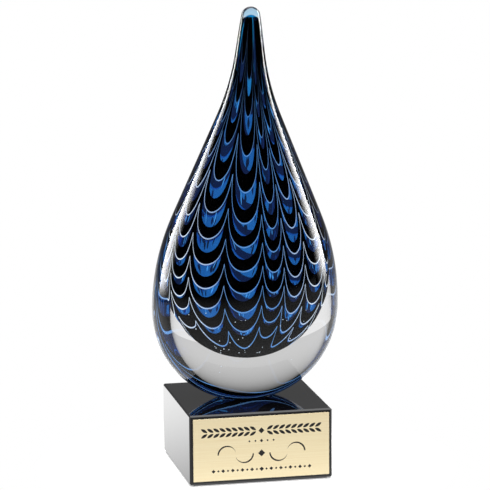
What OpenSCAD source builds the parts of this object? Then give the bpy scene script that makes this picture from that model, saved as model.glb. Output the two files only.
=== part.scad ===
// Art-glass teardrop award on a black glass block.
// A flattened drop of clear glass is cased over a blue glass core. Black bands and white threads
// were wound around the core, combed into scallops and sealed under the clear casing. The drop's
// ground foot is bonded to a polished block, which carries an engraved plate on its front.
// Millimetres. Origin at the centre of the underside, +Z up, the plate faces -Y.

/* [Base] */
// Width of the block, left to right
base_width = 80; // [60:1:120]
// Depth of the block, front to back
base_depth = 80; // [60:1:120]
// Height of the top of the block above the table
base_height = 40; // [25:1:80]
// Polished chamfer on every edge of the block
base_chamfer = 0.8; // [0.3:0.1:2]
// Thickness of the felt pad under the block
felt_thickness = 0.8; // [0.4:0.1:2]
// Distance of the felt from the sides of the block
felt_inset = 2.5; // [1:0.5:8]

/* [Plate] */
// Width of the engraved plate
plate_width = 76.2; // [40:0.1:78]
// Height of the engraved plate
plate_height = 35; // [20:0.5:38]
// Thickness of the plate
plate_thickness = 0.6; // [0.4:0.1:1.5]
// Thickness of the double-sided tape behind the plate
tape_thickness = 0.2; // [0.1:0.05:0.5]
// Depth of the engraving, which is filled with black enamel
engraving_depth = 0.15; // [0.05:0.05:0.3]

/* [Drop] */
// Half of the drop's greatest width
drop_radius = 53; // [53:0.5:60]
// Height of the drop above the block
drop_height = 218.5; // [216:0.5:224]
// Height of the widest level above the block
drop_belly_height = 50.5; // [49:0.5:52]
// Depth of the drop as a share of its width
drop_flatness = 0.5; // [0.5:0.01:0.8]
// Lean of the hand-made drop to its right, in degrees
drop_lean = 1.5; // [0:0.5:2]
// Thickness of the clear adhesive under the ground foot
bond_thickness = 0.2; // [0.1:0.05:0.5]
// Distance of the adhesive from the edge of the foot
bond_inset = 1; // [0.5:0.1:2]

/* [Core] */
// Half of the blue core's greatest width
core_radius = 42; // [39:0.5:42]
// Height of the core's widest level above the block
core_belly_height = 67.5; // [65:0.5:67.5]
// Clear glass above the core at the tip
core_tip_cover = 4.5; // [4:0.5:10]
// Depth of the core as a share of its width
core_flatness = 0.4; // [0.3:0.01:0.4]
// Thickness of the wound layer between the core and the casing
layer_thickness = 1.2; // [0.8:0.1:1.2]

/* [Combed pattern] */
// Height of the whole pattern above its usual place on the core
pattern_rise = 0; // [-1:0.5:2]
// Height of a black band as a share of its row's spacing
band_share = 0.5; // [0.3:0.05:0.5]
// Height of a white thread
thread_height = 1; // [0.6:0.1:1.2]

/* [Hidden] */
$fn = 96;
ROWS = 11;

clearance = 0.1;
// Sideways shift that centres the leaning drop's widest level over the block
lean_shift = -drop_belly_height * sin(drop_lean);
plate_face_y = -base_depth / 2 - tape_thickness - plate_thickness;
plate_centre_z = (base_height + felt_thickness) / 2;

// The drop's profile is an arc at the belly, a wider arc at the shoulder, a straight cone, a hollow
// arc at the neck, a slimmer cone and a round tip, each tangent to the next.
shoulder_radius = 132;
cone_angle = 23.4;
neck_height = 159;
neck_radius = 131;
tip_angle = 8;
core_shoulder_radius = 134;
core_cone_angle = 22.5;
core_neck_height = 158;
core_tip_angle = 8;
belly_steps = 14;
arc_steps = 6;

// Directions, in degrees from the front, of the comb lines at which the scallops meet
comb_lines = [-78, -53, -22, 7, 24, 44, 70, 98, 128, 158, 190, 220, 250];
// How far each column of scallops sits above or below its row, halfway up the pattern
column_rise = [5, 4.5, 0, -2, -3.5, 2.5, 1, -1, 2, 0, -2, 1, 3];
// Change of that rise with height, because no two columns are combed at the same spacing
column_slant = [-0.11, 0.05, 0, -0.12, -0.05, 0, 0.03, -0.03, 0.04, 0, -0.03, 0.03, -0.05];
middle_height = 85;
// Height of each row of scallops above the block
row_heights = [31.4, 42, 51.4, 62.2, 74, 87.2, 101.2, 118.2, 137.5, 158.3, 179];
top_pitch = 20;
// How far the scallops of each row are drawn up at the comb lines
comb_pull = [8, 12, 15, 16, 17, 19, 22, 24, 18, 11, 7];
// Sharpness of the points between the scallops
comb_power = 2.4;
scallop_steps = 4;
columns = len(comb_lines);

// Points [radius, height] on an arc around a centre, from one angle to another
function arc(centre, radius, from, to, steps) =
    [for (i = [0 : steps]) let (a = from + (to - from) * i / steps)
        [centre[0] + radius * cos(a), centre[1] + radius * sin(a)]];

// Outline of a teardrop, from the pole under the belly to the top of the tip
function teardrop(belly, belly_z, shoulder, cone, neck_z, tip, top) =
    let (
        low = arc([0, belly_z], belly, -90, 0, belly_steps),
        turn = arc([belly - shoulder, belly_z], shoulder, 0, cone, arc_steps),
        cone_top = turn[arc_steps][0] - (neck_z - turn[arc_steps][1]) * tan(cone),
        neck_centre = [cone_top + neck_radius * cos(cone), neck_z + neck_radius * sin(cone)],
        neck = arc(neck_centre, neck_radius, 180 + cone, 180 + tip, arc_steps),
        reach = neck[arc_steps][0] * cos(tip) + neck[arc_steps][1] * sin(tip),
        cap_radius = (reach - top * sin(tip)) / (1 - sin(tip)),
        cap = arc([0, top - cap_radius], cap_radius, tip, 90, arc_steps)
    )
    concat([[0, belly_z - belly]], [for (i = [1 : belly_steps]) low[i]],
        [for (i = [1 : arc_steps]) turn[i]], neck,
        [for (i = [0 : arc_steps - 1]) cap[i]], [[0, top]]);

drop_outline = teardrop(drop_radius, drop_belly_height, shoulder_radius, cone_angle, neck_height,
    tip_angle, drop_height);
core_outline = teardrop(core_radius, core_belly_height, core_shoulder_radius, core_cone_angle,
    core_neck_height, core_tip_angle, drop_height - core_tip_cover);
cavity_outline = teardrop(core_radius + layer_thickness, core_belly_height,
    core_shoulder_radius + layer_thickness, core_cone_angle, core_neck_height, core_tip_angle,
    drop_height - core_tip_cover + layer_thickness);
cavity_flatness = core_flatness + 0.02;

// Radius of an outline at a height, on the part of it that rises from pole to tip
function radius_at(outline, z) = lookup(z, [for (p = outline) [p[1], p[0]]]);

// Point of the wound layer: depth runs from 0 at the core to 1 at the casing
function layer_point(angle, z, depth) =
    let (
        inner = radius_at(core_outline, z),
        outer = radius_at(cavity_outline, z),
        half_width = inner + (outer - inner) * depth,
        half_depth = inner * core_flatness
            + (outer * cavity_flatness - inner * core_flatness) * depth
    )
    [half_width * sin(angle), -half_depth * cos(angle), z];

function row_height(row) = row_heights[row - 1] + pattern_rise;
function row_pitch(row) = row < ROWS ? row_heights[row] - row_heights[row - 1] : top_pitch;
function column_offset(row, column) =
    column_rise[column] + column_slant[column] * (row_heights[row - 1] - middle_height);
function comb_line(column) = comb_lines[column % columns] + (column >= columns ? 360 : 0);

// Height of a row's lower edge at a share of the way across a column
function scallop_height(row, column, share) =
    let (
        offset = column_offset(row, column),
        beside = column_offset(row, (column + (share < 0.5 ? columns - 1 : 1)) % columns),
        bottom = row_height(row) + offset,
        top = row_height(row) + comb_pull[row - 1] + (offset + beside) / 2
    )
    bottom + (top - bottom) * pow(abs(2 * share - 1), comb_power);

// Stands the drop's own frame on the block, with its lean
module on_block() {
    translate([lean_shift, 0, base_height + bond_thickness])
        rotate([0, drop_lean, 0])
            children();
}

// Solid with an elliptical section, made of four quarters
module flattened(outline, flatness) {
    for (quarter = [0 : 3])
        scale([1, flatness, 1])
            rotate([0, 0, 90 * quarter])
                rotate_extrude(angle = 90)
                    polygon(outline);
}

// Closed ring that follows one row of scallops inside the wound layer
module ribbon(row, lower, upper, inner, outer) {
    count = columns * scallop_steps;
    corners = [[lower, inner], [lower, outer], [upper, outer], [upper, inner]];
    points = [
        for (i = [0 : count - 1], corner = corners)
            let (
                column = floor(i / scallop_steps),
                share = (i % scallop_steps) / scallop_steps,
                angle = comb_line(column) + share * (comb_line(column + 1) - comb_line(column)),
                z = scallop_height(row, column, share) + corner[0]
            )
            layer_point(angle, z, corner[1])
    ];
    faces = [
        for (i = [0 : count - 1], side = [0 : 3])
            let (here = 4 * i, next = 4 * ((i + 1) % count), after = (side + 1) % 4)
            each [[here + side, next + side, here + after],
                  [here + after, next + side, next + after]]
    ];
    on_block() polyhedron(points, faces);
}

// Block with the same chamfer on all twelve edges
module chamfered_block(size, chamfer) {
    intersection() {
        chamfered_prism(size[0], size[1], size[2], chamfer);
        rotate([90, 0, 90]) chamfered_prism(size[1], size[2], size[0], chamfer);
        rotate([90, 0, 0]) chamfered_prism(size[0], size[2], size[1], chamfer);
    }
}

module chamfered_prism(width, height, length, chamfer) {
    x = width / 2;
    y = height / 2;
    linear_extrude(length, center = true)
        polygon([[x - chamfer, -y], [x, chamfer - y], [x, y - chamfer], [x - chamfer, y],
                 [chamfer - x, y], [-x, y - chamfer], [-x, chamfer - y], [chamfer - x, -y]]);
}

// Pointed leaf between two arcs, from the origin along +X
module leaf(length, width) {
    arc_radius = (length * length + width * width) / (4 * width);
    intersection() {
        translate([length / 2, arc_radius - width / 2]) circle(arc_radius);
        translate([length / 2, width / 2 - arc_radius]) circle(arc_radius);
    }
}

// Half of a garland: pairs of leaves on both sides of a level stem
module half_garland(pairs, pitch, leaf_length, leaf_width) {
    first_leaf = 3;
    half_stem = 0.35;
    leaf_angle = 32;
    for (i = [0 : pairs - 1], side = [-1, 1])
        translate([first_leaf + i * pitch, side * half_stem])
            rotate(side * leaf_angle)
                leaf(leaf_length, leaf_width);
}

module diamond(size) {
    rotate(45) square(size, center = true);
}

// Half of a ring that swells towards its middle; side is 1 for an arch and -1 for a bowl
module swelling_arc(radius, side) {
    inner_radius = 4.9;
    shift = 0.42;
    intersection() {
        difference() {
            circle(radius);
            translate([-side * shift, -side * shift]) circle(inner_radius);
        }
        translate([-2 * radius, side > 0 ? 0 : -2 * radius]) square([4 * radius, 2 * radius]);
    }
}

// Generic ornament engraved on the plate: a garland, a scroll and rows of beads
module ornament() {
    garland_level = 9.5;
    bead_level = 3.8;
    scroll_level = -3.2;
    border_level = -12.2;
    scroll_radius = 5.2;
    bead_spacing = 3.4;
    border_spacing = 2.7;
    for (side = [0, 1]) mirror([side, 0]) {
        translate([0, garland_level]) half_garland(9, 3.4, 4.2, 1.6);
        for (i = [1 : 2]) translate([i * bead_spacing, bead_level]) diamond(0.9);
        translate([9.5, scroll_level]) swelling_arc(scroll_radius, -1);
        translate([19.5, scroll_level]) swelling_arc(scroll_radius, 1);
        for (i = [1 : 10])
            translate([i * border_spacing, border_level]) diamond(i % 2 == 0 ? 1.5 : 1);
    }
    translate([0, garland_level]) diamond(2.4);
    translate([0, bead_level]) diamond(1.4);
    translate([0, scroll_level]) diamond(2.8);
    translate([0, border_level]) diamond(1.8);
}

module on_plate(depth) {
    translate([0, plate_face_y + depth, plate_centre_z])
        rotate([90, 0, 0])
            linear_extrude(depth)
                ornament();
}

module base_block() {
    color([0.04, 0.04, 0.05])
        translate([0, 0, (base_height + felt_thickness) / 2])
            chamfered_block([base_width, base_depth, base_height - felt_thickness], base_chamfer);
}

module base_felt_pad() {
    color([0.12, 0.12, 0.13])
        translate([felt_inset - base_width / 2, felt_inset - base_depth / 2, 0])
            cube([base_width - 2 * felt_inset, base_depth - 2 * felt_inset, felt_thickness]);
}

module name_plate() {
    color([0.87, 0.78, 0.55])
        difference() {
            translate([-plate_width / 2, plate_face_y, plate_centre_z - plate_height / 2])
                cube([plate_width, plate_thickness, plate_height]);
            on_plate(engraving_depth);
        }
}

module plate_tape() {
    margin = 1.5;
    color([0.85, 0.85, 0.82])
        translate([margin - plate_width / 2, -base_depth / 2 - tape_thickness,
                   margin + plate_centre_z - plate_height / 2])
            cube([plate_width - 2 * margin, tape_thickness, plate_height - 2 * margin]);
}

module engraving_fill() {
    color([0.03, 0.03, 0.03]) on_plate(engraving_depth);
}

// Thin film of clear adhesive, a little smaller than the drop's ground foot
module drop_bond() {
    foot = sqrt(drop_radius * drop_radius - drop_belly_height * drop_belly_height);
    film = foot - bond_inset;
    color([0.8, 0.85, 0.88, 0.5])
        translate([0, 0, base_height])
            flattened([[0, 0], [film, 0], [film, bond_thickness], [0, bond_thickness]],
                drop_flatness);
}

module clear_casing() {
    color([0.86, 0.92, 0.95, 0.35])
        difference() {
            on_block() flattened(drop_outline, drop_flatness);
            on_block() flattened(cavity_outline, cavity_flatness);
            translate([-base_width, -base_depth, 0])
                cube([2 * base_width, 2 * base_depth, base_height + bond_thickness]);
        }
}

module blue_core() {
    color([0.09, 0.4, 0.75, 0.8])
        on_block() flattened(core_outline, core_flatness);
}

module black_band(row) {
    color([0.03, 0.03, 0.04])
        ribbon(row, 0, row_pitch(row) * band_share, clearance, 1 - clearance);
}

module white_thread(row) {
    color([0.92, 0.95, 0.98])
        ribbon(row, -clearance - thread_height, -clearance, clearance, 1 - clearance);
}

base_block();
base_felt_pad();
name_plate();
plate_tape();
engraving_fill();
drop_bond();
clear_casing();
blue_core();
for (row = [1 : ROWS]) {
    black_band(row);
    white_thread(row);
}
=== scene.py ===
# Looks of the art-glass teardrop award: a flattened clear glass drop over a blue glass core with
# combed black bands and white threads, bonded to a black glass block with a brushed gold plate.
import math
import random

import bmesh
import bpy
from mathutils import Matrix, Vector


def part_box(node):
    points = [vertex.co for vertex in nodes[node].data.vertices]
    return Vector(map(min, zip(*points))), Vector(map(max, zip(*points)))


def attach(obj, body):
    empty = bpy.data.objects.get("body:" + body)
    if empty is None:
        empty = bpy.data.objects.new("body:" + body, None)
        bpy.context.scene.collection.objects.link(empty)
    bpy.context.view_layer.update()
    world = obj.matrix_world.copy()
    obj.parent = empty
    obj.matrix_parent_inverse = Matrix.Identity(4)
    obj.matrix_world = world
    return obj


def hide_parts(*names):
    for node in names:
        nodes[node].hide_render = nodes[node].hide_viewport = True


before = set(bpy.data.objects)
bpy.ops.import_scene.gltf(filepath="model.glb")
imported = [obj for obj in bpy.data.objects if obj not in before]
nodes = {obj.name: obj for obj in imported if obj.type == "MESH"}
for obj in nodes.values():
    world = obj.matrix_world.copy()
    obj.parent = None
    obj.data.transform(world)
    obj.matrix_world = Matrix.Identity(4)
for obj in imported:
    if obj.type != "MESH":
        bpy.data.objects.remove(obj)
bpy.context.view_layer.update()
scene = bpy.context.scene
MM = 0.001
SEED = 4620

# ---------------------------------------------------------------- sizes, in millimetres
block_low, block_high = [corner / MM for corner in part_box("base_block")]
casing_low, casing_high = [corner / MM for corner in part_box("clear_casing")]
core_low, core_high = [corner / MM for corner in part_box("blue_core")]
foot_height = casing_low.z
drop_radius = (casing_high.x - casing_low.x) / 2
drop_flatness = (casing_high.y - casing_low.y) / 2 / drop_radius
drop_height = casing_high.z - foot_height
core_radius = (core_high.x - core_low.x) / 2
core_flatness = (core_high.y - core_low.y) / 2 / core_radius
core_bottom = core_low.z - foot_height
core_top = core_high.z - foot_height

drop_belly = 50.5          # height of the drop's widest level above its foot
drop_lean = math.radians(1.5)
SHOULDER = {"radius": 132, "cone": 23.4, "neck": 159, "tip": 8}
CORE_SHOULDER = {"radius": 134, "cone": 22.5, "neck": 158, "tip": 8}
NECK_RADIUS = 131
core_belly = core_bottom + core_radius
ROUND_TIP = 9              # length of outline at the tip that keeps its exact arc
DROP_SPACING = 1.6         # distance between the points of each outline
CORE_SPACING = 1.4
SOFTENING = 6              # passes that soften the changes of curvature
AROUND = 256               # points round each revolved glass

to_block = (
    Matrix.Translation((-drop_belly * math.sin(drop_lean), 0, foot_height))
    @ Matrix.Rotation(drop_lean, 4, "Y")
)


def arc(centre, radius, start, stop, steps):
    """Points (radius, height) on an arc, from one angle in degrees to another."""
    angles = [math.radians(start + (stop - start) * i / steps) for i in range(steps + 1)]
    return [(centre[0] + radius * math.cos(a), centre[1] + radius * math.sin(a)) for a in angles]


def teardrop(belly, belly_z, top, shoulder):
    """Outline from the pole under the belly to the top of the tip, as tangent arcs and cones."""
    cone, tip = math.radians(shoulder["cone"]), math.radians(shoulder["tip"])
    low = arc((0, belly_z), belly, -90, 0, 60)
    turn = arc((belly - shoulder["radius"], belly_z), shoulder["radius"], 0, shoulder["cone"], 30)
    cone_top = turn[-1][0] - (shoulder["neck"] - turn[-1][1]) * math.tan(cone)
    neck_centre = (cone_top + NECK_RADIUS * math.cos(cone),
                   shoulder["neck"] + NECK_RADIUS * math.sin(cone))
    neck = arc(neck_centre, NECK_RADIUS, 180 + shoulder["cone"], 180 + shoulder["tip"], 24)
    reach = neck[-1][0] * math.cos(tip) + neck[-1][1] * math.sin(tip)
    cap_radius = (reach - top * math.sin(tip)) / (1 - math.sin(tip))
    cap = arc((0, top - cap_radius), cap_radius, shoulder["tip"], 90, 20)
    return [(0, belly_z - belly)] + low[1:] + turn[1:] + neck + cap[:-1] + [(0, top)]


def evened(outline, spacing):
    """The outline with points at an even spacing, its changes of curvature softened below the tip."""
    lengths = [0.0]
    for (r0, z0), (r1, z1) in zip(outline, outline[1:]):
        lengths.append(lengths[-1] + math.hypot(r1 - r0, z1 - z0))
    count = round(lengths[-1] / spacing)
    points, i = [], 0
    for k in range(count + 1):
        s = lengths[-1] * k / count
        while i < len(lengths) - 2 and lengths[i + 1] < s:
            i += 1
        share = (s - lengths[i]) / (lengths[i + 1] - lengths[i])
        points.append([a + (b - a) * share for a, b in zip(outline[i], outline[i + 1])])
    tip = len(points) - round(ROUND_TIP / spacing)
    for _ in range(SOFTENING):
        inner = [
            [(a[j] + 2 * b[j] + c[j]) / 4 for j in (0, 1)] if k < tip else b
            for k, (a, b, c) in enumerate(zip(points, points[1:], points[2:]))
        ]
        points = [points[0]] + inner + [points[-1]]
    return points


drop_outline = evened(teardrop(drop_radius, drop_belly, drop_height, SHOULDER), DROP_SPACING)
core_outline = evened(teardrop(core_radius, core_belly, core_top, CORE_SHOULDER), CORE_SPACING)


def radius_at(outline, height):
    """Radius of an outline at a height."""
    low, high = 0, len(outline) - 1
    if height <= outline[0][1] or height >= outline[-1][1]:
        return 0.0
    while high - low > 1:
        middle = (low + high) // 2
        if outline[middle][1] < height:
            low = middle
        else:
            high = middle
    (r0, z0), (r1, z1) = outline[low], outline[high]
    return r0 + (r1 - r0) * (height - z0) / (z1 - z0)


def surface_point(outline, flatness, angle, height, lift=0.0):
    """Point on a flattened drop, at an angle in degrees from the front, lifted outwards."""
    radius = radius_at(outline, height) + lift
    depth = radius_at(outline, height) * flatness + lift
    a = math.radians(angle)
    return Vector((radius * math.sin(a), -depth * math.cos(a), height))


def new_piece(name, slot, bm, *materials, replaces=()):
    """Makes a piece from a bmesh in the drop's own millimetres and rides it on the root body."""
    bmesh.ops.recalc_face_normals(bm, faces=bm.faces)
    mesh = bpy.data.meshes.new(name)
    bm.to_mesh(mesh)
    bm.free()
    mesh.transform(Matrix.Scale(MM, 4) @ to_block)
    for polygon in mesh.polygons:
        polygon.use_smooth = True
    for material in materials:
        mesh.materials.append(material)
    piece = bpy.data.objects.new(name, mesh)
    scene.collection.objects.link(piece)
    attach(piece, "root")
    if replaces:
        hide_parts(*replaces)
    return piece


def revolved(bm, outline, flatness):
    """Adds a closed flattened solid of revolution to a bmesh."""
    rings = []
    for radius, height in outline:
        if radius < 1e-6:
            rings.append([bm.verts.new((0, 0, height))])
            continue
        angles = [2 * math.pi * j / AROUND for j in range(AROUND)]
        rings.append([
            bm.verts.new((radius * math.cos(a), flatness * radius * math.sin(a), height))
            for a in angles
        ])
    for lower, upper in zip(rings, rings[1:]):
        for j in range(AROUND):
            k = (j + 1) % AROUND
            if len(lower) == 1:
                bm.faces.new((lower[0], upper[k], upper[j]))
            elif len(upper) == 1:
                bm.faces.new((lower[j], lower[k], upper[0]))
            else:
                bm.faces.new((lower[j], lower[k], upper[k], upper[j]))


def ring_strip(bm, sections):
    """Joins a closed loop of cross-sections, each a list of points, into one ring."""
    rings = [[bm.verts.new(point) for point in section] for section in sections]
    sides = len(rings[0])
    for here, there in zip(rings, rings[1:] + rings[:1]):
        for j in range(sides):
            k = (j + 1) % sides
            bm.faces.new((here[j], there[j], there[k], here[k]))


# ---------------------------------------------------------------- combed pattern
# Angles from the front, in degrees, of the comb lines between the columns of scallops
COMB_LINES = [-78, -53, -22, 7, 24, 44, 70, 98, 128, 158, 190, 220, 250]
# How far each column hangs above or below its row, and how that changes with height
COLUMN_RISE = [5, 4.5, 0, -2, -3.5, 2.5, 1, -1, 2, 0, -2, 1, 3]
COLUMN_SLANT = [-0.11, 0.05, 0, -0.12, -0.05, 0, 0.03, -0.03, 0.04, 0, -0.03, 0.03, -0.05]
MIDDLE_HEIGHT = 85         # height at which the slants add nothing
ROW_HEIGHTS = [31.4, 42, 51.4, 62.2, 74, 87.2, 101.2, 118.2, 137.5, 158.3, 179]
TOP_PITCH = 20             # height from the top row to where a next one would be
# How far each row is drawn up at the comb lines, and the share of its height that is black
COMB_PULL = [9, 12, 14, 15, 16, 19, 24, 29, 34, 38, 30]
BAND_SHARES = [0.62, 0.6, 0.55, 0.52, 0.47, 0.42, 0.42, 0.5, 0.52, 0.52, 0.5]
ROWS = len(ROW_HEIGHTS)
COLUMNS = len(COMB_LINES)
OPEN_TIP_COLUMNS = (0, 3, 8, 9, 11)     # columns that stay blue all the way up to the tip
COMB_SHARE = 0.15          # share of a half column that the black comb line takes
STEPS = 30                 # steps across each scallop
LOW_ROWS = 2               # rows at the bottom that wander more than the rest
LOW_WANDER, WANDER = 2.0, 0.7
FRONT_MIDDLE = 6           # angle at the middle of the front half
BACK_SHARE = 0.6           # bands at the back are thinner by this factor
THREAD_GAP = 0.9           # room kept under the thread of the row above
FILLING = 99               # more than any band's height, where it takes all the room there is
BAND_LEAST = 0.4           # least height of a band
TIP_ROOM = 1.2             # room between the top row and the top of the core
# A band's lens-shaped section: share of its height, and lift off the core
BAND_SECTION = [(0, 0.10), (0.12, 0.42), (0.5, 0.55), (0.88, 0.42), (1, 0.10), (0.75, 0.04), (0.25, 0.04)]
BASE_LIFTS = (0.45, 0.12)  # outside and inside of the black glass below the lowest row
BASE_GAP = 1.1             # room between it and the lowest row
THREAD_BELOW = 0.45        # from a band's lower edge down to the middle of its thread
THREAD_LIFT = 0.3          # from the core out to the middle of a thread
THREAD_LEAST = 0.055       # half thickness of a thread that runs straight up
THREAD_WIDER = 0.28        # what a thread that runs level adds to its half width
THREAD_DEEPER = 0.13       # and to its half depth
SLIM_FROM, SLIM = 9, 0.75  # the threads of the top rows are slimmer
THREAD_SIDES = 8
FAN_IN = 0.7               # how far the streaks in a window draw together downwards
LEAST_WINDOW = 1.2         # windows lower than this have no streaks
# the light streaks are painted highlights: glowing slivers standing in for small glints in the windows
HIGHLIGHT_STREAKS = 0.3        # share of the streaks that are light
BUBBLES = 34
BUBBLE_SIDE = 65           # angle to either side of the front that the seed bubbles reach
BUBBLE_LOW, BUBBLE_SPREAD = 3, 24
BUBBLE_LIFT = 0.75         # from the core out to the middle of a bubble
# Bubbles in the clear glass under the core: place and radius
CLEAR_BUBBLES = [((-16, -14, 21.5), 0.3), ((-16.5, -13, 18), 0.26), ((23, -9, 24), 0.2)]
chance = random.Random(SEED)
wander = [[chance.uniform(-1, 1) for _ in range(COLUMNS)] for _ in range(ROWS + 1)]


def row_pitch(row):
    """Height from a row to the next one."""
    return ROW_HEIGHTS[row] - ROW_HEIGHTS[row - 1] if row < ROWS else TOP_PITCH


def column_offset(row, column):
    """How far a scallop hangs above or below its row; the lowest rows are the least regular."""
    slant = COLUMN_SLANT[column] * (ROW_HEIGHTS[row - 1] - MIDDLE_HEIGHT)
    wandering = LOW_WANDER if row <= LOW_ROWS else WANDER
    return COLUMN_RISE[column] + slant + wandering * wander[row - 1][column]


def column_span(column):
    """Angles at the two sides of a column."""
    turned = 360 if column == COLUMNS - 1 else 0
    return COMB_LINES[column], COMB_LINES[(column + 1) % COLUMNS] + turned


def hanging(across, pull):
    """Height above a scallop's lowest point, at a share from -1 to 1 of the way across it."""
    return pull * (0.5 * across ** 2 + 0.5 * abs(across) ** 7)


def scallop(row, column, across, raised=0.0):
    """Height of a row's lower edge in a column, at a share from -1 to 1 of the way across."""
    offset = column_offset(row, column)
    beside = (column + (1 if across > 0 else -1)) % COLUMNS
    pull = COMB_PULL[row - 1] + (column_offset(row, beside) - offset) / 2
    return ROW_HEIGHTS[row - 1] + offset + raised + hanging(across, pull)


def band_edges(row):
    """Angle, lower height and upper height at each step round a row's black band."""
    edges = []
    for column in range(COLUMNS):
        start, stop = column_span(column)
        for step in range(STEPS):
            across = math.sin(math.pi / 2 * (2 * step / STEPS - 1))
            angle = start + (stop - start) * (across + 1) / 2
            low = scallop(row, column, across)
            thickness = row_pitch(row) * BAND_SHARES[row - 1]
            if abs(angle - FRONT_MIDDLE) >= 90:
                thickness *= BACK_SHARE
            if row == ROWS and column not in OPEN_TIP_COLUMNS:
                thickness = FILLING
            nested = across / (1 - COMB_SHARE)
            if abs(nested) < 1:
                high = scallop(row, column, nested, thickness)
            else:
                high = low + FILLING
            if row < ROWS:
                high = min(high, scallop(row + 1, column, across) - THREAD_GAP)
            else:
                high = min(high, core_top - TIP_ROOM)
            edges.append((angle, low, max(high, low + BAND_LEAST)))
    return edges


def on_core(angle, height, lift):
    """Point over the core's surface, at an angle from the front."""
    return surface_point(core_outline, core_flatness, angle, min(height, core_top - 0.5), lift)


def add_band(row, material):
    """The black band of a row: a lens-shaped ribbon fused on to the core."""
    bm = bmesh.new()
    ring_strip(bm, [
        [on_core(angle, low + (high - low) * share, lift) for share, lift in BAND_SECTION]
        for angle, low, high in band_edges(row)
    ])
    new_piece(f"combed_band_{row}", "black_band_glass", bm, material, replaces=(f"black_band_{row}",))


def add_base_cap(material):
    """The black glass below the lowest row, a shell round the bottom of the core."""
    bottom = core_bottom + 0.02
    shares = [(i / 10) ** 2 for i in range(11)]
    outside, inside = BASE_LIFTS
    sections = []
    for angle, low, _ in band_edges(1):
        heights = [bottom + (low - BASE_GAP - bottom) * share for share in shares]
        sections.append([on_core(angle, height, outside) for height in heights]
                        + [on_core(angle, height, inside) for height in reversed(heights)])
    bm = bmesh.new()
    ring_strip(bm, sections)
    new_piece("core_base_band", "black_band_glass", bm, material)


def add_thread(row, material):
    """The white thread under a row's band: a fine round cane, thinner where it is drawn up."""
    path = [on_core(angle, low - THREAD_BELOW, THREAD_LIFT) for angle, low, _ in band_edges(row)]
    slim = 1 if row < SLIM_FROM else SLIM
    sections = []
    for i, point in enumerate(path):
        along = (path[(i + 1) % len(path)] - path[i - 1]).normalized()
        outwards = Vector((point.x * core_flatness, point.y / core_flatness, 0)).normalized()
        across = along.cross(outwards).normalized()
        outwards = across.cross(along)
        level = math.hypot(along.x, along.y)
        half_width = slim * (THREAD_LEAST + THREAD_WIDER * level)
        half_depth = slim * (THREAD_LEAST + THREAD_DEEPER * level)
        sections.append([
            point + across * half_width * math.cos(a) + outwards * half_depth * math.sin(a)
            for a in (2 * math.pi * j / THREAD_SIDES for j in range(THREAD_SIDES))
        ])
    bm = bmesh.new()
    ring_strip(bm, sections)
    new_piece(f"combed_thread_{row}", "white_thread_glass", bm, material, replaces=(f"white_thread_{row}",))


def add_sliver(bm, start, stop, half_width):
    """A thin lens of glass on the core between two places, each an angle and a height."""
    rings = []
    steps = 6
    side_lift, crown_lift, back_lift = 0.12, 0.3, 0.06
    for i in range(steps + 1):
        share = i / steps
        angle = start[0] + (stop[0] - start[0]) * share
        height = start[1] + (stop[1] - start[1]) * share
        width = half_width * (0.12 + math.sin(math.pi * share))
        spread = math.degrees(width / max(radius_at(core_outline, height), 5))
        rings.append([bm.verts.new(point) for point in (
            on_core(angle - spread, height, side_lift), on_core(angle, height, crown_lift),
            on_core(angle + spread, height, side_lift), on_core(angle, height, back_lift))])
    for here, there in zip(rings, rings[1:]):
        for j in range(4):
            k = (j + 1) % 4
            bm.faces.new((here[j], there[j], there[k], here[k]))
    bm.faces.new(rings[0])
    bm.faces.new(rings[-1])


def add_window_streaks(dark, light):
    """Short dark streaks, and light streaks that are painted highlights, fanning down from the threads into
    the blue windows.
    """
    kinds = {"dark": bmesh.new(), "light": bmesh.new()}
    for row in range(1, ROWS - 1):
        for column in range(COLUMNS):
            start, stop = column_span(column)
            for _ in range(chance.randint(1, 3) if row > 5 else chance.randint(3, 6)):
                across = chance.uniform(-0.62, 0.62)
                top = scallop(row + 1, column, across) - THREAD_GAP
                inner = across * FAN_IN
                bottom = scallop(row, column, inner / (1 - COMB_SHARE),
                                 row_pitch(row) * BAND_SHARES[row - 1])
                if top - bottom < LEAST_WINDOW:
                    continue
                lower = top + (bottom - top) * chance.uniform(0.4, 0.95)
                places = [(start + (stop - start) * (a + 1) / 2, height)
                          for a, height in ((across, top), (inner, lower))]
                # a light streak is a painted highlight, a dark one is pattern
                kind = "light" if chance.random() < HIGHLIGHT_STREAKS else "dark"
                half_width = chance.uniform(0.25, 0.7) * (0.6 if kind == "light" else 1)
                add_sliver(kinds[kind], *places, half_width)
    new_piece("dark_streaks", "black_band_glass", kinds["dark"], dark)
    new_piece("highlight_streaks", "white_thread_glass", kinds["light"], light)


def add_bubbles(material):
    """Seed bubbles: a scatter over the lower part of the core and a few in the clear glass."""
    bubbles = []
    for _ in range(BUBBLES):
        angle = chance.uniform(-BUBBLE_SIDE, BUBBLE_SIDE)
        height = core_bottom + BUBBLE_LOW + BUBBLE_SPREAD * chance.random() ** 2
        bubbles.append((on_core(angle, height, BUBBLE_LIFT), chance.uniform(0.14, 0.3)))
    bm = bmesh.new()
    for place, size in bubbles + CLEAR_BUBBLES:
        bmesh.ops.create_icosphere(bm, subdivisions=2, radius=size, matrix=Matrix.Translation(place))
    new_piece("seed_bubbles", "white_thread_glass", bm, material)


# ---------------------------------------------------------------- materials
# Heights, or distances from the middle, in metres, between which a look changes
# painted shade: heights over which the painted dark edges of the clear glass deepen
EDGE_SHADE_PAINTED = (0.082, 0.125)
# painted highlight: heights over which the tip of the clear glass is painted light blue, with painted dark
# edges
TIP_HIGHLIGHT_PAINTED = (0.2515, 0.254)
CORE_PALES = (0.2, 0.245)
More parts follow.
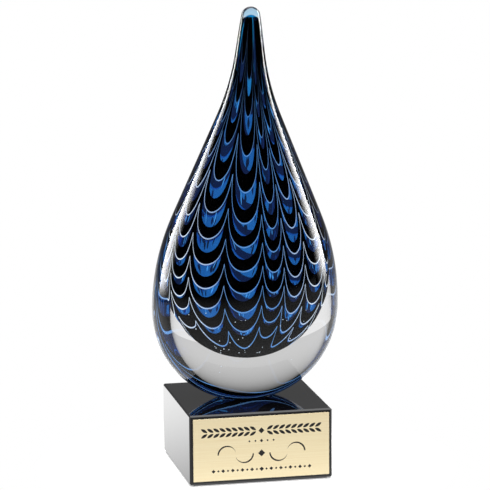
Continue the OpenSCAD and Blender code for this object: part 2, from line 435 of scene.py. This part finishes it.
# painted light: heights over which the painted glow of the white threads fades to almost nothing
THREAD_GLOW_FADES = (0.175, 0.215)
# painted light: distances from the middle over which the threads' painted colour and glow go from light
# blue to white
THREAD_SIDE_LIGHT_PAINTED = (0.014, 0.036)


class Shader:
    """A node material with one Principled shader, and helpers to add procedural detail."""

    def __init__(self, name):
        self.material = bpy.data.materials.new(name)
        self.material.use_nodes = True
        self.tree = self.material.node_tree
        self.principled = self.tree.nodes["Principled BSDF"]

    def set(self, **values):
        for name, value in values.items():
            self.principled.inputs[name.replace("_", " ")].default_value = value

    def node(self, kind, **inputs):
        made = self.tree.nodes.new(kind)
        for name, value in inputs.items():
            self.put(value, made.inputs[name.replace("_", " ")])
        return made

    def put(self, value, socket):
        if isinstance(value, bpy.types.NodeSocket):
            self.tree.links.new(value, socket)
        else:
            socket.default_value = value

    def coordinates(self, scale):
        """Object coordinates in metres, stretched by a scale on each axis."""
        mapping = self.node("ShaderNodeMapping", Vector=self.node("ShaderNodeTexCoord").outputs["Object"])
        mapping.inputs["Scale"].default_value = scale
        return mapping.outputs["Vector"]

    def noise(self, scale, detail=3.0):
        made = self.node("ShaderNodeTexNoise", Vector=self.coordinates(scale), Scale=1.0, Detail=detail)
        return made.outputs["Fac"]

    def range(self, value, low, high, start, stop):
        """A number that goes from low to high while a value goes from start to stop."""
        made = self.node("ShaderNodeMapRange", Value=value)
        for name, number in (("From Min", start), ("From Max", stop), ("To Min", low), ("To Max", high)):
            made.inputs[name].default_value = number
        return made.outputs["Result"]

    def ramp(self, value, stops):
        """A colour that follows a value along stops, each a place and a colour."""
        made = self.node("ShaderNodeValToRGB", Fac=value)
        elements = made.color_ramp.elements
        for i, (place, colour) in enumerate(stops):
            element = elements[i] if i < 2 else elements.new(place)
            element.position = place
            element.color = (*colour, 1)
        return made.outputs["Color"]

    def mix(self, share, first, second):
        """A colour between two others."""
        made = self.node("ShaderNodeMix")
        made.data_type = "RGBA"
        for value, socket in ((share, 0), (first, 6), (second, 7)):
            self.put(value, made.inputs[socket])
        return made.outputs[2]

    def place(self, axis):
        """Object coordinate in metres along an axis."""
        where = self.node("ShaderNodeTexCoord").outputs["Object"]
        return self.node("ShaderNodeSeparateXYZ", Vector=where).outputs[axis]

    def link(self, output, name):
        self.tree.links.new(output, self.principled.inputs[name])


def clear_glass():
    """Clear glass with painted shade at its edges, darkest on the slim upper part, and a painted light blue
    highlight on the tip.
    """
    shader = Shader("clear_glass")
    shader.set(Roughness=0.0, IOR=1.5, Transmission_Weight=1.0)
    height = shader.place("Z")
    facing = shader.node("ShaderNodeLayerWeight", Blend=0.5).outputs["Facing"]
    # painted shade: the base colour darkens towards the edges by Layer Weight, a little low down and almost
    # black on the slim upper part
    thin_edge_painted_shade = shader.ramp(facing, [(0.58, (1, 1, 1)), (0.8, (0.12, 0.12, 0.14))])
    dark_edge_painted_shade = shader.ramp(facing, [(0.3, (1, 1, 1)), (0.5, (0.02, 0.03, 0.06))])
    # painted highlight: light blue on the facing part of the tip, with painted shade at its edges
    tip_painted_highlight = shader.ramp(facing, [(0.3, (0.5, 0.74, 0.92)), (0.5, (0.01, 0.015, 0.03))])
    sides = shader.mix(shader.range(height, 0, 1, *EDGE_SHADE_PAINTED), thin_edge_painted_shade, dark_edge_painted_shade)
    shader.link(shader.mix(shader.range(height, 0, 1, *TIP_HIGHLIGHT_PAINTED), sides, tip_painted_highlight), "Base Color")
    return shader.material


def blue_glass():
    """Blue glass that looks more cyan where the core is thin, near the tip, with a faint painted glow
    standing in for the light inside the core.
    """
    shader = Shader("blue_glass")
    shader.set(Roughness=0.0, IOR=1.0, Transmission_Weight=0.97)
    # painted light: a faint dark blue glow stands in for the light that reaches the core through the clear
    # glass
    shader.set(Emission_Color=(0.006, 0.011, 0.036, 1), Emission_Strength=1.0)
    streaks = shader.ramp(shader.noise((90, 90, 14)),
                          [(0.3, (0.006, 0.1, 0.36)), (0.7, (0.014, 0.16, 0.5))])
    cyan = (0.006, 0.32, 0.62, 1)
    thin = shader.range(shader.place("Z"), 0, 1, *CORE_PALES)
    shader.link(shader.mix(thin, streaks, cyan), "Base Color")
    return shader.material


def black_glass(name, roughness, specular):
    """Black glass, polished or dull."""
    shader = Shader(name)
    shader.set(Roughness=roughness, Specular_IOR_Level=specular)
    cloud = shader.noise((40, 40, 40))
    dark, light = (0.0012, 0.0012, 0.0018), (0.003, 0.003, 0.004)
    shader.link(shader.ramp(cloud, [(0.3, dark), (0.7, light)]), "Base Color")
    return shader.material


def white_glass():
    """White thread glass with a painted glow, whose painted light makes it light blue where it lies over
    the middle of the core and whiter to the sides, dimming on the upper threads.
    """
    shader = Shader("white_thread_glass")
    shader.set(Roughness=0.5, Specular_IOR_Level=0.0)
    # painted light: the glow stands in for the light falling on the threads, and dims on the upper threads
    shader.link(shader.range(shader.place("Z"), 0.78, 0.06, *THREAD_GLOW_FADES), "Emission Strength")
    aside = shader.node("ShaderNodeMath", Value=shader.place("X"))
    aside.operation = "ABSOLUTE"
    # painted light: colour and glow go from light blue over the middle of the core to white at the sides
    share = shader.range(aside.outputs[0], 0, 1, *THREAD_SIDE_LIGHT_PAINTED)
    for socket, blue, white in (("Emission Color", (0.13, 0.34, 0.74), (0.8, 0.9, 1.0)),
                                ("Base Color", (0.1, 0.2, 0.4), (0.5, 0.6, 0.7))):
        shader.link(shader.ramp(share, [(0.0, blue), (1.0, white)]), socket)
    return shader.material


def streak_glass(name, colour):
    """Glass of the streaks in the blue windows, which stand out by a weak painted glow; on the light
    streaks the glow is a painted highlight.
    """
    shader = Shader(name)
    shader.set(Roughness=0.5, Specular_IOR_Level=0.0, Emission_Color=(*colour, 1), Emission_Strength=1.0)
    cloud = shader.noise((200, 200, 60))
    dim, clear = (tuple(share * part for part in colour) for share in (0.3, 0.6))
    shader.link(shader.ramp(cloud, [(0.3, dim), (0.7, clear)]), "Base Color")
    return shader.material


def bubble_glass():
    """Bright little spheres whose painted glow stands in for the light that bubbles catch against the black
    glass.
    """
    shader = Shader("bubble_glass")
    # painted light: a pale blue glow makes the bubbles bright
    shader.set(Roughness=0.2, Emission_Color=(0.75, 0.88, 1.0, 1), Emission_Strength=0.7)
    cloud = shader.noise((900, 900, 900), detail=2.0)
    shader.link(shader.ramp(cloud, [(0.3, (0.6, 0.75, 0.85)), (0.7, (0.95, 0.98, 1.0))]), "Base Color")
    return shader.material


def brushed_gold():
    """Pale gold, brushed lengthwise."""
    shader = Shader("brushed_gold")
    shader.set(Metallic=0.35, Roughness=0.34)
    brushing = shader.noise((30, 30, 5200), detail=4.0)
    shader.link(shader.ramp(brushing, [(0.3, (0.88, 0.73, 0.44)), (0.7, (0.96, 0.84, 0.56))]), "Base Color")
    return shader.material


def plain(name, dark, light, roughness, grain):
    """A matt material, clouded between two colours, the finer the higher its grain."""
    shader = Shader(name)
    shader.set(Roughness=roughness)
    cloud = shader.noise((grain, grain, grain))
    shader.link(shader.ramp(cloud, [(0.3, dark), (0.7, light)]), "Base Color")
    return shader.material


def give(node, material):
    """Gives a shown CAD node its only material."""
    nodes[node].data.materials.clear()
    nodes[node].data.materials.append(material)


give("base_block", black_glass("polished_black_glass", 0.03, 0.5))
give("base_felt_pad", plain("felt", (0.02, 0.02, 0.022), (0.05, 0.05, 0.055), 0.95, 3000))
give("name_plate", brushed_gold())
give("plate_tape", plain("tape", (0.75, 0.75, 0.72), (0.85, 0.85, 0.82), 0.6, 200))
give("engraving_fill", plain("black_enamel", (0.006, 0.005, 0.005), (0.012, 0.01, 0.01), 0.45, 900))
give("drop_bond", plain("adhesive", (0.01, 0.01, 0.012), (0.02, 0.02, 0.022), 0.2, 300))

# ---------------------------------------------------------------- glass pieces
def add_drop(clear, bonded):
    """The clear drop, cut flat at its foot, where it is bonded to the block."""
    bm = bmesh.new()
    revolved(bm, drop_outline, drop_flatness)
    drop = new_piece("drop_glass", "clear_glass", bm, clear, bonded, replaces=("clear_casing",)).data
    foot_level = foot_height * MM
    for vertex in drop.vertices:
        vertex.co.z = max(vertex.co.z, foot_level)
    for polygon in drop.polygons:
        if max(drop.vertices[i].co.z for i in polygon.vertices) < foot_level + 1e-6:
            polygon.material_index = 1
    drop.set_sharp_from_angle(angle=math.radians(20))


def add_core(material):
    """The blue core inside the drop."""
    bm = bmesh.new()
    revolved(bm, core_outline, core_flatness)
    new_piece("core_glass", "blue_glass", bm, material, replaces=("blue_core",))


add_drop(clear_glass(), black_glass("bonded_foot", 0.3, 0.2))
add_core(blue_glass())
band_glass = black_glass("black_band_glass", 0.5, 0.0)
thread_glass = white_glass()
add_base_cap(band_glass)
for row in range(1, ROWS + 1):
    add_band(row, band_glass)
    add_thread(row, thread_glass)
add_bubbles(bubble_glass())
# the dark streaks glow faintly as painted light, and the light streaks glow as painted highlights
add_window_streaks(streak_glass("dark_streak_glass", (0.006, 0.014, 0.045)),
                   streak_glass("highlight_streak_glass", (0.06, 0.3, 0.75)))

# ---------------------------------------------------------------- stage, lights and camera
CAMERA_AZIMUTH = math.radians(-11.83)
CAMERA_ELEVATION = math.radians(10.55)
CAMERA_ROLL = math.radians(-0.43)
CAMERA_DISTANCE = 1.564
CAMERA_AIM = Vector((0.0001, 0, 0.1259))
CAMERA_LENS = 206.74
OBJECT_MIDDLE = 0.13
FLOOR_FADE = 0.14          # height over the table below which the softboxes fade out


def around(azimuth, elevation=0.0):
    """Unit vector from the object towards an azimuth, counted from the front towards +X."""
    return Vector((math.sin(azimuth) * math.cos(elevation),
                   -math.cos(azimuth) * math.cos(elevation), math.sin(elevation)))


def add_camera():
    """A long lens at the height and side from which the object is shown."""
    data = bpy.data.cameras.new("camera")
    data.sensor_width = 36
    data.lens = CAMERA_LENS
    data.clip_start = 0.01
    camera = bpy.data.objects.new("camera", data)
    scene.collection.objects.link(camera)
    back = around(CAMERA_AZIMUTH, CAMERA_ELEVATION)
    camera.location = CAMERA_AIM + back * CAMERA_DISTANCE
    turn = (-back).to_track_quat("-Z", "Y").to_matrix() @ Matrix.Rotation(CAMERA_ROLL, 3, "Z")
    camera.rotation_euler = turn.to_euler()
    scene.camera = camera


def add_panel(name, azimuth, distance, height, width, tall, power, aim=OBJECT_MIDDLE):
    """A rectangular lamp that faces the object from an azimuth and leaves no image in the glass."""
    data = bpy.data.lights.new(name, "AREA")
    data.shape = "RECTANGLE"
    data.size = width
    data.size_y = tall
    data.energy = power
    panel = bpy.data.objects.new(name, data)
    scene.collection.objects.link(panel)
    panel.location = around(azimuth) * distance + Vector((0, 0, height))
    to_object = Vector((0, 0, aim)) - panel.location
    panel.rotation_euler = to_object.to_track_quat("-Z", "Y").to_euler()
    panel.visible_camera = panel.visible_glossy = panel.visible_transmission = False


def connect(tree, value, socket):
    """Links a socket to a value that is another socket, or else sets it to a number."""
    if isinstance(value, bpy.types.NodeSocket):
        tree.links.new(value, socket)
    else:
        socket.default_value = value


def add_fade(tree, value, start, stop, low, high, kind="SMOOTHSTEP"):
    """A smooth step from one number to another, in a stage material."""
    made = tree.nodes.new("ShaderNodeMapRange")
    made.interpolation_type = kind
    for name, number in (("From Min", start), ("From Max", stop), ("To Min", low), ("To Max", high)):
        made.inputs[name].default_value = number
    tree.links.new(value, made.inputs["Value"])
    return made.outputs["Result"]


def add_math(tree, kind, first, second=0):
    """A sum, product or other function of two values, in a stage material."""
    made = tree.nodes.new("ShaderNodeMath")
    made.operation = kind
    connect(tree, first, made.inputs[0])
    connect(tree, second, made.inputs[1])
    return made.outputs[0]


def choose(tree, switch, otherwise, chosen):
    """One value where a switch is 1 and another where it is 0, in a stage material."""
    made = tree.nodes.new("ShaderNodeMix")
    made.data_type = "FLOAT"
    tree.links.new(switch, made.inputs[0])
    connect(tree, otherwise, made.inputs[2])
    connect(tree, chosen, made.inputs[3])
    return made.outputs[0]


def coordinates(tree, kind):
    """A place and its three parts, in a stage material."""
    place = tree.nodes.new("ShaderNodeTexCoord").outputs[kind]
    split = tree.nodes.new("ShaderNodeSeparateXYZ")
    tree.links.new(place, split.inputs[0])
    return place, split.outputs


def blend(tree, share, first, second):
    """A mix of two shader nodes, in a stage material."""
    made = tree.nodes.new("ShaderNodeMixShader")
    tree.links.new(share, made.inputs[0])
    tree.links.new(first.outputs[0], made.inputs[1])
    tree.links.new(second.outputs[0], made.inputs[2])
    return made


def stage_plane(name, cells, size):
    """A flat object on the stage, with an empty material of its own name."""
    bm = bmesh.new()
    bmesh.ops.create_grid(bm, x_segments=cells, y_segments=cells, size=size)
    mesh = bpy.data.meshes.new(name)
    bm.to_mesh(mesh)
    bm.free()
    material = bpy.data.materials.new(name)
    material.use_nodes = True
    material.node_tree.nodes.clear()
    mesh.materials.append(material)
    plane = bpy.data.objects.new(name, mesh)
    scene.collection.objects.link(plane)
    return plane, material.node_tree


def add_softbox(name, azimuth, distance, width, tall, middle, strength):
    """A bright panel, crisp at its outer edge and fading towards the camera, seen only in reflections."""
    panel, tree = stage_plane(name, 1, 0.5)
    panel.data.transform(Matrix.Diagonal((width, tall, 1, 1)))
    panel.location = around(azimuth) * distance + Vector((0, 0, middle))
    panel.rotation_euler = (math.pi / 2, 0, azimuth)
    panel.visible_camera = panel.visible_diffuse = False
    panel.visible_transmission = panel.visible_shadow = False

    outer = math.copysign(width, azimuth - CAMERA_AZIMUTH)
    _, place = coordinates(tree, "Object")
    inwards = add_fade(tree, place["X"], -0.5 * outer, 0.42 * outer, 0, strength, "SMOOTHERSTEP")
    downwards = add_fade(tree, place["Y"], -middle, FLOOR_FADE - middle, 0, 1)
    glow = tree.nodes.new("ShaderNodeEmission")
    tree.links.new(add_math(tree, "MULTIPLY", inwards, downwards), glow.inputs["Strength"])
    out = tree.nodes.new("ShaderNodeOutputMaterial")
    tree.links.new(glow.outputs[0], out.inputs["Surface"])


def add_floor():
    """A wide white table that glows, so that only the ground round the block takes a shadow."""
    _, tree = stage_plane("table", 8, 4)
    path = tree.nodes.new("ShaderNodeLightPath").outputs
    place, parts = coordinates(tree, "Object")
    length = tree.nodes.new("ShaderNodeVectorMath")
    length.operation = "LENGTH"
    tree.links.new(place, length.inputs[0])
    away = length.outputs["Value"]

    front = add_fade(tree, parts["Y"], -1.1, -0.12, 0, 0.45)
    back = add_fade(tree, parts["Y"], -0.2, 0.2, 0, 1.7)
    near = add_fade(tree, away, 0.25, 1.1, 1, 0.06)
    mirrored = add_math(tree, "ADD", front, add_math(tree, "MULTIPLY", back, near))
    glow = tree.nodes.new("ShaderNodeEmission")
    tree.links.new(choose(tree, path["Is Transmission Ray"], mirrored, 0.85), glow.inputs["Strength"])

    matt = tree.nodes.new("ShaderNodeBsdfDiffuse")
    matt.inputs["Color"].default_value = (0.92, 0.92, 0.92, 1)
    white = tree.nodes.new("ShaderNodeEmission")
    ground = blend(tree, add_fade(tree, away, 0.05, 0.12, 0.4, 1), matt, white)
    out = tree.nodes.new("ShaderNodeOutputMaterial")
    seen = blend(tree, path["Is Camera Ray"], glow, ground)
    tree.links.new(seen.outputs[0], out.inputs["Surface"])


def add_world():
    """A white studio behind the object, black to the sides and where the photographer stands."""
    world = bpy.data.worlds.new("studio")
    scene.world = world
    world.use_nodes = True
    tree = world.node_tree
    background = tree.nodes["Background"]
    background.inputs["Color"].default_value = (1, 1, 1, 1)
    path = tree.nodes.new("ShaderNodeLightPath").outputs
    place, parts = coordinates(tree, "Generated")
    aside = tree.nodes.new("ShaderNodeVectorMath")
    aside.operation = "DOT_PRODUCT"
    aside.inputs[1].default_value = around(CAMERA_AZIMUTH + math.pi / 2)
    tree.links.new(place, aside.inputs[0])
    sideways = add_math(tree, "ABSOLUTE", aside.outputs["Value"])

    behind = add_fade(tree, parts["Y"], -0.1, 0.4, 0.03, 1)
    between = add_fade(tree, sideways, 0.6, 0.95, 1, 0.03)
    rising = add_fade(tree, parts["Z"], 0, 0.8, 0.62, 0.12)
    through = add_math(tree, "MULTIPLY", add_math(tree, "MULTIPLY", behind, between), rising)
    ceiling = add_fade(tree, parts["Z"], 0.8, 0.97, 0, 4)
    mirrored = add_math(tree, "ADD", add_fade(tree, parts["Y"], -0.3, 0.4, 0.001, 0.2), ceiling)
    indirect = choose(tree, path["Is Transmission Ray"], mirrored, through)
    seen = choose(tree, path["Is Camera Ray"], indirect, 1.0)
    tree.links.new(seen, background.inputs["Strength"])


add_camera()
add_floor()
add_world()
add_softbox("strip_left", CAMERA_AZIMUTH - math.radians(75), 0.9, 0.65, 1.2, 0.33, 20)
add_softbox("strip_right", CAMERA_AZIMUTH + math.radians(86.5), 0.9, 0.35, 1.2, 0.33, 20)
add_panel("fill_front", CAMERA_AZIMUTH, 1.2, 1.0, 0.8, 0.6, 16.5)
add_panel("overhead", math.pi, 0.1, 1.6, 1.6, 1.6, 60, aim=0.0)
scene.view_settings.view_transform = "Standard"
